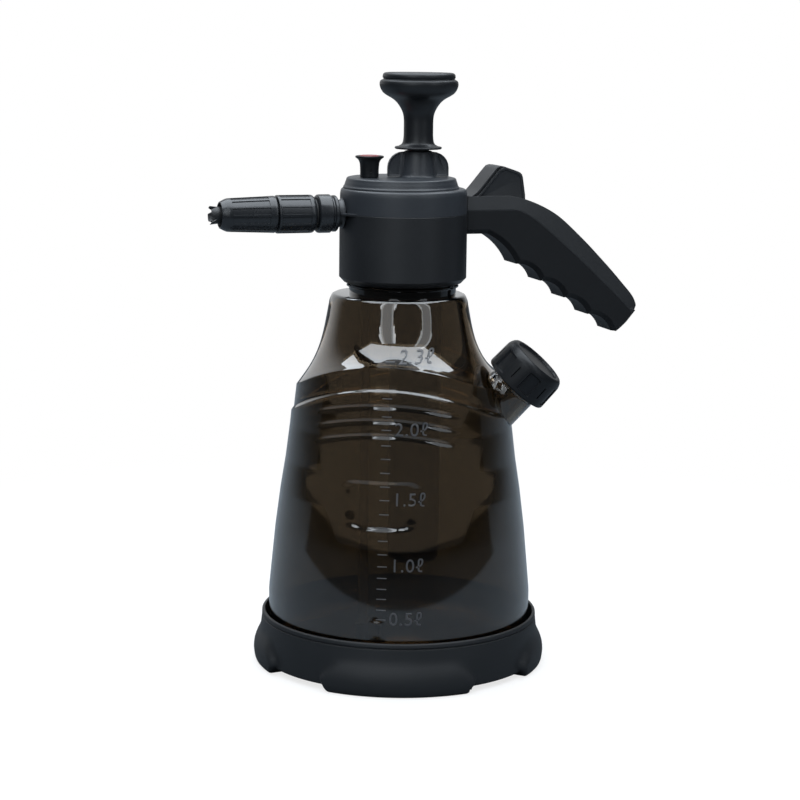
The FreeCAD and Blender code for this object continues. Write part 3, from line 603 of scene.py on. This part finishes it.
boot = dict(
    feet=4, steps=480, sideRadius=80,
    levels=(0, 6.5, 20), halfWidths=(38.5, 42.5, 31.0), softness=(0.8, 1.5, 7.0),  # of a foot
    # radius and height: where the feet change nothing, then over a foot beside between the feet
    under=((0, 0), (19.4, 0), (20, 0.6), (20, 3), (65.4, 3)),
    overFeet=((66, 0), (82.2, 0), (83.4, 0.3), (84.2, 1.2), (84.8, 2.8), (85.1, 4.8), (85.3, 7), (85.2, 9),
              (84.9, 11), (84.3, 13), (83.5, 15), (82.5, 17), (81.6, 19)),
    between=((66, 3), (79.8, 3), (80.7, 3.2), (81.2, 3.8), (81.4, 4.8), (81.4, 6), (81.4, 8), (81.4, 10),
             (81.4, 12), (81.4, 14), (81.3, 16), (81.3, 18), (81.2, 20)),
    rim=((81.1, 21), (80.9, 23), (80.6, 25.5), (80.5, 26.6), (79.9, 27), (79.9, 27.4), (80.5, 27.8),
         (80.4, 29.4), (80.1, 29.9), (79.7, 30), (78.7, 30), (78.5, 8), (78.5, 6), (0, 6)),
)


def addBoot():
    b = boot
    over = b["under"] + b["overFeet"] + b["rim"]
    obj = turnedPiece("rubberBoot", over, b["steps"])
    co = readPoints(obj)
    radius = np.hypot(co[:, 0], co[:, 1])
    over, between = np.array(over), np.array(b["under"] + b["between"] + b["rim"])
    mine = np.hypot(radius[:, None] - over[:, 0], co[:, 2:3] - over[:, 1]).argmin(1)
    turn = np.arctan2(co[:, 1], co[:, 0])
    pitch = 2 * math.pi / b["feet"]
    side = np.abs(b["sideRadius"] * np.sin((turn + pitch / 2) % pitch - pitch / 2))
    height = over[mine, 1]
    half = np.interp(height, b["levels"], b["halfWidths"])
    soft = np.interp(height, b["levels"], b["softness"])
    share = 1 - ease(half - soft, half + soft, side)
    radius = share * over[mine, 0] + (1 - share) * between[mine, 0]
    height = share * height + (1 - share) * between[mine, 1]
    writePoints(obj, np.stack([radius * np.cos(turn), radius * np.sin(turn), height], 1))
    smooth(obj, 50)
    return finishPiece(obj, "base", "boot_rubber", finishes["boot"], "base_boot")


addBoot()
print("boot ready")


# filler cap

cap = dict(radius=19.8, height=19.2, taper=0.5, bore=14.9, ring=14.6, pads=6, phase=-104.5,
           padHalf=17.0, padFoot=2.6, padHead=4.4, padInside=16, padRim=0.45, padDepth=1.1,
           slotHalf=1.6, slotFoot=5.0, slotHead=6.4, slotInside=18, slotRim=0.12, slotDepth=1.1)


def addFillerCap():
    c = cap
    r, h = c["radius"], c["height"]
    t = c["taper"]
    line = [(c["bore"], 0), (r - 1.0, 0), (r - 0.4, 0.2), (r, 0.8), (r, 1.6), (r, 2.6), (r - 0.2 * t, 5.0),
            (r - 0.7 * t, h - 6.4), (r - t, h - 4.4), (r - t - 0.1, h - 3.8), (r - t - 0.5, h - 2.6),
            (r - t - 1.2, h - 1.3), (r - t - 2.2, h - 0.3), (r - t - 3.1, h), (c["ring"] + 0.5, h),
            (c["ring"], h - 0.2), (c["ring"] - 0.4, h - 1.3), (0, h - 1.3), (0, 15.6),
            (c["bore"], 15.6), (c["bore"], 0)]
    obj = turnedPiece("fillerCap", line, 240)
    halfPitch = 180 / c["pads"]

    def between(point):
        beside = offPitch(point, c["pads"], c["phase"] + halfPitch) < halfPitch - c["padHalf"]
        return beside and c["padFoot"] < point.z < h - c["padHead"] and offAxis(point) > c["padInside"]

    def slot(point):
        beside = offPitch(point, c["pads"], c["phase"]) < c["slotHalf"]
        return beside and c["slotFoot"] < point.z < h - c["slotHead"] and offAxis(point) > c["slotInside"]
    pressIn(obj, between, c["padRim"], c["padDepth"])
    pressIn(obj, slot, c["slotRim"], c["slotDepth"])
    settle(obj, spoutPlace)
    smooth(obj, 32)
    return finishPiece(obj, "filler_cap", "cap_black", finishes["cap"], "filler_cap")


addFillerCap()
print("filler cap ready")


# nozzle

nozzle = dict(steps=192, panels=12, panelHalf=11.5, phase=15, rim=0.12, depth=0.5)


def sunkPanels(obj, low, high, outside):
    n = nozzle

    def panel(point):
        beside = offPitch(point, n["panels"], n["phase"]) < n["panelHalf"]
        return beside and low < point.z < high and offAxis(point) > outside
    pressIn(obj, panel, n["rim"], n["depth"])


def addNozzle():
    steps = nozzle["steps"]
    line = [(6.9, 53.8), (9.4, 53.8), (9.9, 53.9), (10.4, 54.4), (10.7, 55.0), (10.8, 55.8), (10.8, 57.0),
            (10.8, 74.0), (10.8, 74.8), (10.6, 75.25), (10.2, 75.4), (7.0, 75.4), (7.0, 100.0),
            (5.0, 100.0), (5.0, 61.0), (6.9, 61.0), (6.9, 53.8)]
    rear = turnedPiece("nozzleRear", line, steps)
    sunkPanels(rear, 57.0, 74.0, 10.0)
    line = [(7.08, 76.4), (9.9, 76.4), (10.3, 76.55), (10.45, 77.0), (10.4, 77.8), (10.25, 80.6), (9.45, 102.0),
            (9.38, 103.2), (9.2, 104.2), (8.7, 105.4), (7.9, 107.0), (7.5, 107.7), (7.1, 107.9), (6.8, 107.7),
            (6.3, 104.5), (6.3, 100.8), (7.08, 100.8), (7.08, 76.4)]
    front = turnedPiece("nozzleFront", line, steps)
    sunkPanels(front, 80.6, 102.0, 9.0)
    line = [(6.9, 40.4), (9.5, 40.4), (9.9, 40.5), (10.3, 41.0), (10.3, 42.3), (9.9, 42.7), (9.5, 42.9),
            (9.5, 43.5), (9.9, 43.8), (10.6, 44.0), (10.9, 44.5), (10.9, 50.5), (10.7, 51.3),
            (10.2, 51.8), (9.6, 52.0),
            (9.0, 52.0), (9.0, 51.4), (8.2, 51.4), (8.2, 52.0), (6.9, 52.0), (6.9, 40.4)]
    collar = turnedPiece("nozzleCollar", line, steps)
    for piece, body, node in ((rear, "head", "nozzle_body"), (front, "nozzle_sleeve", "nozzle_sleeve"),
                              (collar, "head", "nozzle_collar")):
        settle(piece, nozzlePlace)
        smooth(piece, 30)
        finishPiece(piece, body, "nozzle_black", finishes["nozzle"], node)


tip = dict(turns=(25, 115), notch=(16, 6.4, 6.4), notchHeight=114.0, pressed=(1, 0.5, 0.85))


def addTip():
    line = [(3.5, 86.0), (4.95, 86.0), (4.95, 99.5), (4.6, 100.6), (4.6, 104.0), (4.6, 106.0), (4.75, 109.0),
            (5.0, 111.5), (5.2, 113.2), (5.0, 113.4), (4.2, 111.5), (3.8, 109.0), (3.5, 106.0), (3.5, 86.0)]
    obj = turnedPiece("nozzleTip", line, 96)
    for turn in tip["turns"]:
        bpy.ops.mesh.primitive_cube_add(size=1)
        notch = bpy.context.object
        edit(notch)
        bpy.ops.transform.resize(value=[side * mm for side in tip["notch"]])
        bpy.ops.transform.rotate(value=math.pi / 4, orient_axis="X", center_override=(0, 0, 0))
        bpy.ops.transform.resize(value=tip["pressed"])
        bpy.ops.transform.translate(value=(0, 0, tip["notchHeight"] * mm))
        bpy.ops.transform.rotate(value=math.radians(turn), orient_axis="Z", center_override=(0, 0, 0))
        leaveEdit()
        combine(obj, notch, "DIFFERENCE")
    settle(obj, nozzlePlace)
    smooth(obj, 35)
    return finishPiece(obj, "head", "tip_black", finishes["tip"], "nozzle_tip")


addNozzle()
addTip()
print("nozzle ready")


# head, lid and wing nut

head = dict(
    radius=36.6, bottom=223.2, top=277.0, bore=32.7, cavity=33.2, ledge=(241.5, 244.5), ledgeBore=25.6,
    skirtIn=2.9, skirtUp=2.9, lidAt=-1.5, lidTop=283.0, lidRadius=33.2, pumpHole=17.0,
    ventAt=-20.6, ventHole=3.5, gusset=0.7,
)


def hole(obj, x, radius, low, high):
    cutter = turnedPiece("cutter", [(0, low), (radius, low), (radius, high), (0, high)], 96)
    settle(cutter, shifted(x, 0, 0))
    combine(obj, cutter, "DIFFERENCE")


def addHead():
    h = head
    r, low, top = h["radius"], h["bottom"], h["top"]
    (ledgeFoot, ledgeTop), skirtTop = h["ledge"], low + h["skirtUp"]
    line = [(h["bore"], low), (r - h["skirtIn"], low), (r - h["skirtIn"] + 0.3, low + 0.15),
            (r - 0.3, skirtTop - 0.3), (r, skirtTop), (r, skirtTop + 0.5), (r, 262.2), (r, 262.6),
            (r - 0.12, 262.8), (r - 0.12, 263.2)]
    line += flowing([(r - 0.2, top - 5), (r - 0.25, top - 2.6), (r - 1.0, top - 0.4), (r - 3.2, top)], 2)
    line += [(29, top), (29, top - 3), (h["cavity"], top - 6.5), (h["cavity"], ledgeTop),
             (h["ledgeBore"], ledgeTop), (h["ledgeBore"], ledgeFoot), (h["bore"], ledgeFoot),
             (h["bore"], low)]
    obj = turnedPiece("headBody", line, 160)
    z, half, inside = places["nozzleHeight"], h["gusset"], h["cavity"] + 1
    corners = [(-40.5, -8), (-40.5, 8), (-30, 19), (-24, 19), (-24, -19), (-30, -19)]
    gusset = platePiece("gusset", corners, -half, half)
    settle(gusset, shifted(0, 0, z) @ tipped)
    core = turnedPiece("core", [(0, z - 5), (inside, z - 5), (inside, z + 5), (0, z + 5)], 96)
    combine(gusset, core, "DIFFERENCE")
    combine(obj, gusset, "UNION")
    outlet = turnedPiece("outlet", [(0, 25), (6.4, 25), (6.4, 46), (0, 46)], 48)
    settle(outlet, headPlace.inverted() @ nozzlePlace)
    combine(obj, outlet, "DIFFERENCE")
    settle(obj, headPlace)
    smooth(obj, 28)
    finishPiece(obj, "head", "head_black", finishes["head"], "head_body")


def addLid():
    h = head
    r, top, low = h["lidRadius"], h["lidTop"], h["top"]
    line = [(0, low - 6.5), (30.2, low - 6.5), (30.2, low), (r, low), (r, low + 0.4)]
    line += flowing([(r - 0.1, low + 0.8), (r - 0.7, low + 1.5), (r - 1.1, low + 3), (r - 1.6, top - 1.8),
                     (r - 2.0, top - 0.3), (r - 3.4, top)], 2) + [(0, top)]
    obj = turnedPiece("lid", line, 160)
    settle(obj, shifted(h["lidAt"], 0, 0))
    hole(obj, places["pumpAt"], h["pumpHole"], low - 8, top + 2)
    hole(obj, h["ventAt"], h["ventHole"], low - 8, top + 2)
    settle(obj, headPlace)
    smooth(obj, 28)
    finishPiece(obj, "head", "head_black", finishes["head"], "lid")


wingNut = dict(span=35.0, thick=4.4, yaw=-10, top=297.4, foot=283.4, round=9.0, edge=0.3,
               dishFrom=9.8, dishRim=1.2, dishDepth=0.9, boss=8.1, bossTop=298.0, rodHole=6.7)


def addWingNut():
    w = wingNut
    half, top, foot, curve = w["span"] / 2, w["top"], w["foot"], w["round"]
    angles = [math.radians(a) for a in range(0, 91, 15)]
    corner = [(curve * (1 - math.cos(a)), curve * (1 - math.sin(a))) for a in angles]
    left = [(-half, foot)] + [(-half + x, top - z) for x, z in corner]
    outline = left + [(-x, z) for x, z in reversed(left)]
    wing = platePiece("wingNut", outline, -w["thick"] / 2, w["thick"] / 2)
    edit(wing)
    for side in (-1, 1):
        bpy.ops.mesh.select_all(action="SELECT")
        bpy.ops.mesh.bisect(plane_co=(side * w["dishFrom"] * mm, 0, 0), plane_no=(1, 0, 0))
    leaveEdit()

    def dish(point):
        return abs(point.y) > w["thick"] / 2 - 0.1 and abs(point.x) > w["dishFrom"]
    pressIn(wing, dish, w["dishRim"], w["dishDepth"])
    roundEdges(wing, w["edge"], 2, 50)
    line = [(0, 279), (16.9, 279), (16.9, 282.6), (16.5, 283), (11, 283)]
    line += flowing([(10.6, 283.1), (9.7, 283.7), (9.1, 285.6)], 2)
    boss, end = w["boss"], w["bossTop"]
    line += [(boss, end - 0.8), (boss - 0.25, end - 0.2), (boss - 0.8, end), (0, end)]
    obj = turnedPiece("wingNutBoss", line, 96)
    combine(obj, wing, "UNION")
    hole(obj, 0, w["rodHole"], 270, 310)
    obj.name = "wingNut"
    settle(obj, pumpPlace @ yawed(w["yaw"]))
    smooth(obj, 30)
    finishPiece(obj, "head", "head_black", finishes["head"], "pump_cap")


knob = dict(low=299.0, bore=6.27, neck=8.4)


def addKnob():
    low, bore, neck = knob["low"], knob["bore"], knob["neck"]
    line = [(bore, low), (12.9, low), (13.4, low + 0.3), (13.5, low + 0.8), (13.2, low + 1.3)]
    line += flowing([(11.2, low + 1.7), (9.0, low + 3.0), (8.45, low + 6.6), (neck, low + 9)], 3)
    line += flowing([(neck, low + 12), (neck, low + 18), (9.6, low + 22.2), (13.4, low + 27.6),
                     (19.6, low + 30.8), (21.6, low + 33.2), (22.6, low + 36.2), (22.2, low + 38.4),
                     (21.2, low + 39.0)], 3)
    top = low + 39.8
    line += [(20.7, low + 39.2), (20.4, low + 39.5), (20.2, top), (0, top), (0, low + 14.05),
             (bore, low + 14.05), (bore, low)]
    body = turnedPiece("pumpKnob", line, 128)
    line = [(0, top), (20.1, top), (20.6, top + 0.2), (20.8, top + 0.8), (20.7, top + 1.7), (20.4, top + 2.5),
            (19.7, top + 3.1), (18.7, top + 3.3), (18.2, top + 3.0), (0, top + 2.8)]
    disc = turnedPiece("knobCap", line, 128)
    for piece, node in ((body, "pump_knob"), (disc, "knob_cap")):
        settle(piece, pumpPlace)
        smooth(piece, 30)
        finishPiece(piece, "plunger", "knob_black", finishes["knob"], node)


reliefKnob = dict(low=283.2, drillRadius=0.7, drillUp=3.6, drillYaw=-8)


def addReliefKnob():
    low, drillRadius = reliefKnob["low"], reliefKnob["drillRadius"]
    line = [(0.95, low + 10.6), (0.95, low + 7.6), (4.7, low + 7.6), (4.7, low), (5.1, low), (5.3, low + 0.3),
            (5.3, low + 4)]
    line += flowing([(5.35, low + 5.5), (5.6, low + 8.4), (6.6, low + 10.2), (8.0, low + 11.1)], 2)
    line += [(8.15, low + 11.5), (8.0, low + 12.0), (7.5, low + 12.2), (6.4, low + 12.1), (6.0, low + 11.9),
             (5.8, low + 10.6), (0.95, low + 10.6)]
    obj = turnedPiece("reliefKnob", line, 96)
    drill = turnedPiece("drill", [(0, 0), (drillRadius, 0), (drillRadius, 9), (0, 9)], 24)
    settle(drill, shifted(0, 0, low + reliefKnob["drillUp"]) @ yawed(reliefKnob["drillYaw"]) @ tipped)
    combine(obj, drill, "DIFFERENCE")
    settle(obj, headPlace @ shifted(head["ventAt"], 0, 0))
    smooth(obj, 30)
    finishPiece(obj, "relief_valve", "cap_black", finishes["cap"], "relief_knob")


addHead()
addLid()
addWingNut()
addKnob()
addReliefKnob()
print("head ready")


# trigger

trigger = dict(  # a pad, a gap and a body with sunk sides
    half=10.0, border=1.5, step=0.35, panelDepth=0.7, edge=0.45, armHalf=2.0, leverInside=6.3, core=8.8,
    pin=1.6, pinAt=47, pinHeight=262.2, pinReach=20,
    pad=(0.55, -0.5), body=(1.35, -1.2), frontFoot=(37.4, 268.0), bodyFoot=(39.8, 268.0),
    front=((37.4, 272.2), (41.0, 274.6), (43.4, 277.2), (47.8, 282.5), (52.0, 287.5), (53.3, 288.8),
           (55.2, 289.4)),
    back=((57.2, 289.3), (65.6, 286.5), (67.3, 285.7), (68.4, 284.6), (69.0, 283.0), (70.6, 272.8),
          (70.8, 268.0)),
    lever=((43.0, 270.0), (43.0, 262.2), (44.2, 259.4), (47.0, 258.1), (49.9, 259.4), (51.2, 262.2),
           (51.6, 270.0)),
    arm=((43.0, 262.0), (43.2, 254.4), (43.8, 253.6), (44.6, 253.3), (45.4, 253.6), (46.0, 254.4),
         (49.5, 262.0)),
)


def shiftedLine(points, by):
    return [(x + by[0], z + by[1]) for x, z in points]


def addTrigger():
    t = trigger
    half = t["half"]
    front, back = list(t["front"]), list(t["back"])
    obj = platePiece("thumbTrigger", [t["bodyFoot"]] + shiftedLine(front, t["body"]) + back, -half, half)
    chooseFaces(obj, lambda point: abs(point.y) > half - 0.1)
    bpy.ops.mesh.inset(thickness=t["border"] * mm, depth=0)
    bpy.ops.mesh.inset(thickness=t["step"] * mm, depth=-t["panelDepth"] * mm)
    leaveFaces()
    roundEdges(obj, t["edge"], 3, 50)
    pad = platePiece("thumbPad", front + list(reversed(shiftedLine(front, t["pad"]))), -half, half)
    core = platePiece("core", [t["frontFoot"]] + front + back, -t["core"], t["core"])
    thin, inside, reach = t["armHalf"], t["leverInside"], t["pinReach"]
    rows = (("lever", -half, -inside), ("lever", inside, half), ("arm", -thin, thin), ("lever", -thin, thin))
    levers = [platePiece(name, list(t[name]), low, high) for name, low, high in rows]
    for other in [core, pad] + levers:
        combine(obj, other, "UNION")
    pin = turnedPiece("pinHole", [(0, -reach), (t["pin"], -reach), (t["pin"], reach), (0, reach)], 48)
    settle(pin, shifted(t["pinAt"], 0, t["pinHeight"]) @ tipped)
    combine(obj, pin, "DIFFERENCE")
    settle(obj, headPlace)
    smooth(obj, 32)
    return finishPiece(obj, "trigger", "handle_black", finishes["handle"], "trigger")


addTrigger()
print("trigger ready")


# relief spring


def addReliefSpring():  # a welded copy of the CAD spring; on the pump, the pull knob's seal squeezes it against the post
    node = frame["nodes"]["relief_spring"]
    obj = node.copy()
    obj.data = node.data.copy()
    obj.name = "squeezedSpring"
    bpy.context.collection.objects.link(obj)
    clean(obj)
    finishPiece(obj, "head", "spring_steel", finishes["steel"], "relief_spring")
    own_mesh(obj)


addReliefSpring()
print("relief spring ready")


# studio

studio = dict(
    floorTone=(0.2, 0.2, 0.2, 1), floorMirrored=(0.12, 0.14, 0.16, 1), floorGlow=0.75,
    farGlow=1.0, nearFloor=0.25, farFloor=0.6, diffuse=0.20,
    tableFront=0.71, tableBlur=0.03, beyondTable=(0.02, 0.02, 0.02, 1),  # the table ends in front
    room=0.04, backdrop=0.6, backdropAxis=(-0.32, 0.947, 0.0), backdropEdge=(0.5, 0.95),
)


def addFloor():
    s = studio
    deselect()
    bpy.ops.mesh.primitive_plane_add(size=12, location=(0, 0, 0))
    floor = bpy.context.object
    floor.name = "studioFloor"
    pale = Finish("paleFloor", Roughness=0.7, Emission_Strength=s["floorGlow"])
    place = pale.place()
    front = pale.node("ShaderNodeVectorMath", {"operation": "DOT_PRODUCT"}, {0: place, 1: (0, -1, 0)}, "Value")
    away = pale.node("ShaderNodeVectorMath", {"operation": "LENGTH"}, {0: place}, "Value")
    past = pale.ramp(away, s["tableFront"], s["tableFront"] + s["tableBlur"])
    beyond = past * pale.ramp(front, -0.05, 0.05)
    seen = pale.lightPath("Is Camera Ray")
    mirrored = pale.blend(beyond, s["floorMirrored"], s["beyondTable"])
    pale.put("Base_Color", pale.blend(seen, mirrored, s["floorTone"]))
    pale.put("Emission_Color", pale.blend(seen, (0, 0, 0, 1), (1, 1, 1, 1)))
    far = pale.ramp(away, s["nearFloor"], s["farFloor"])
    white = pale.node("ShaderNodeEmission", {}, {"Color": (1, 1, 1, 1), "Strength": s["farGlow"]})
    mixed = pale.mixed(far * seen, Socket(pale, pale.shader.outputs[0]), white)
    pale.connect(pale.tree.nodes["Material Output"].inputs["Surface"], mixed)
    floor.data.materials.append(pale.material)


def addWorld():  # white where it is seen; reflections show a pale backdrop behind and a dark room in front
    s = studio
    world = bpy.data.worlds.new("studio")
    bpy.context.scene.world = world
    world.use_nodes = True
    room = Shading(world.node_tree)

    def level(value):
        return room.node("ShaderNodeBackground", {}, {"Color": (0.96, 0.98, 1, 1), "Strength": value})
    way = room.node("ShaderNodeTexCoord")
    facing = room.node("ShaderNodeVectorMath", {"operation": "DOT_PRODUCT"},
                       {0: way, 1: s["backdropAxis"]}, "Value")
    mirrored = room.mixed(room.ramp(facing, *s["backdropEdge"]), level(s["room"]), level(s["backdrop"]))
    hidden = room.mixed(room.lightPath("Is Glossy Ray"), level(s["diffuse"]), mirrored)
    white = room.node("ShaderNodeBackground", {}, {"Color": (1, 1, 1, 1), "Strength": 1.0})
    clear = room.mixed(room.lightPath("Is Transmission Ray"), hidden, white)
    shown = room.mixed(room.lightPath("Is Camera Ray"), clear, white)
    room.connect(room.tree.nodes["World Output"].inputs["Surface"], shown)


lamps = {  # each one in layers: foot, top, width and brightness
    "leftStrip": dict(azimuth=-108, distance=1.25,
                      layers=((0.30, 1.8, 0.32, 0.9), (0.44, 1.8, 0.44, 1.8), (0.58, 1.8, 0.55, 3.6),
                              (0.85, 1.8, 0.64, 4.0))),
    "rightStrip": dict(azimuth=-44, distance=1.25,
                       layers=((0.30, 1.8, 0.28, 0.8), (0.40, 1.8, 0.34, 2.2), (0.62, 1.8, 0.42, 2.4),
                               (0.90, 1.8, 0.44, 2.0))),
}
ceiling = dict(spot=(0.0, 0.15, 1.7), aim=(0, 0, 0.17), size=(2.6, 2.2), power=64.0)
lampColour = (0.86, 0.93, 1.0)


def addLamp(name, spot, aim, size, power):
    bpy.ops.object.light_add(type="AREA", location=spot)
    light = bpy.context.object
    light.name = name
    light.data.shape = "RECTANGLE"
    light.data.size, light.data.size_y = size
    light.data.energy = power
    light.data.color = lampColour
    light.rotation_euler = (Vector(aim) - Vector(spot)).to_track_quat("-Z", "Y").to_euler()


def addLamps():
    for name, lamp in lamps.items():
        angle = math.radians(lamp["azimuth"])
        x, y = lamp["distance"] * math.cos(angle), lamp["distance"] * math.sin(angle)
        for foot, top, width, brightness in lamp["layers"]:
            height = (foot + top) / 2
            power = brightness * math.pi * width * (top - foot)
            addLamp(name, (x, y, height), (0, 0, height), (width, top - foot), power)
    addLamp("ceiling", **ceiling)


view = dict(place=(-0.00065, -1.23973, 0.36857), lens=97.425, sensor=36.0, tilt=80.1733, roll=0.7)


def addCamera():
    bpy.ops.object.camera_add(location=view["place"])
    camera = bpy.context.object
    camera.name = "camera"
    camera.data.lens = view["lens"]
    camera.data.sensor_width = view["sensor"]
    turn = Matrix.Rotation(math.radians(view["tilt"]), 4, "X") @ yawed(view["roll"])
    camera.rotation_euler = turn.to_euler()
    bpy.context.scene.camera = camera


addFloor()
addWorld()
addLamps()
addCamera()
bpy.context.scene.view_settings.view_transform = "Standard"
print("studio ready")
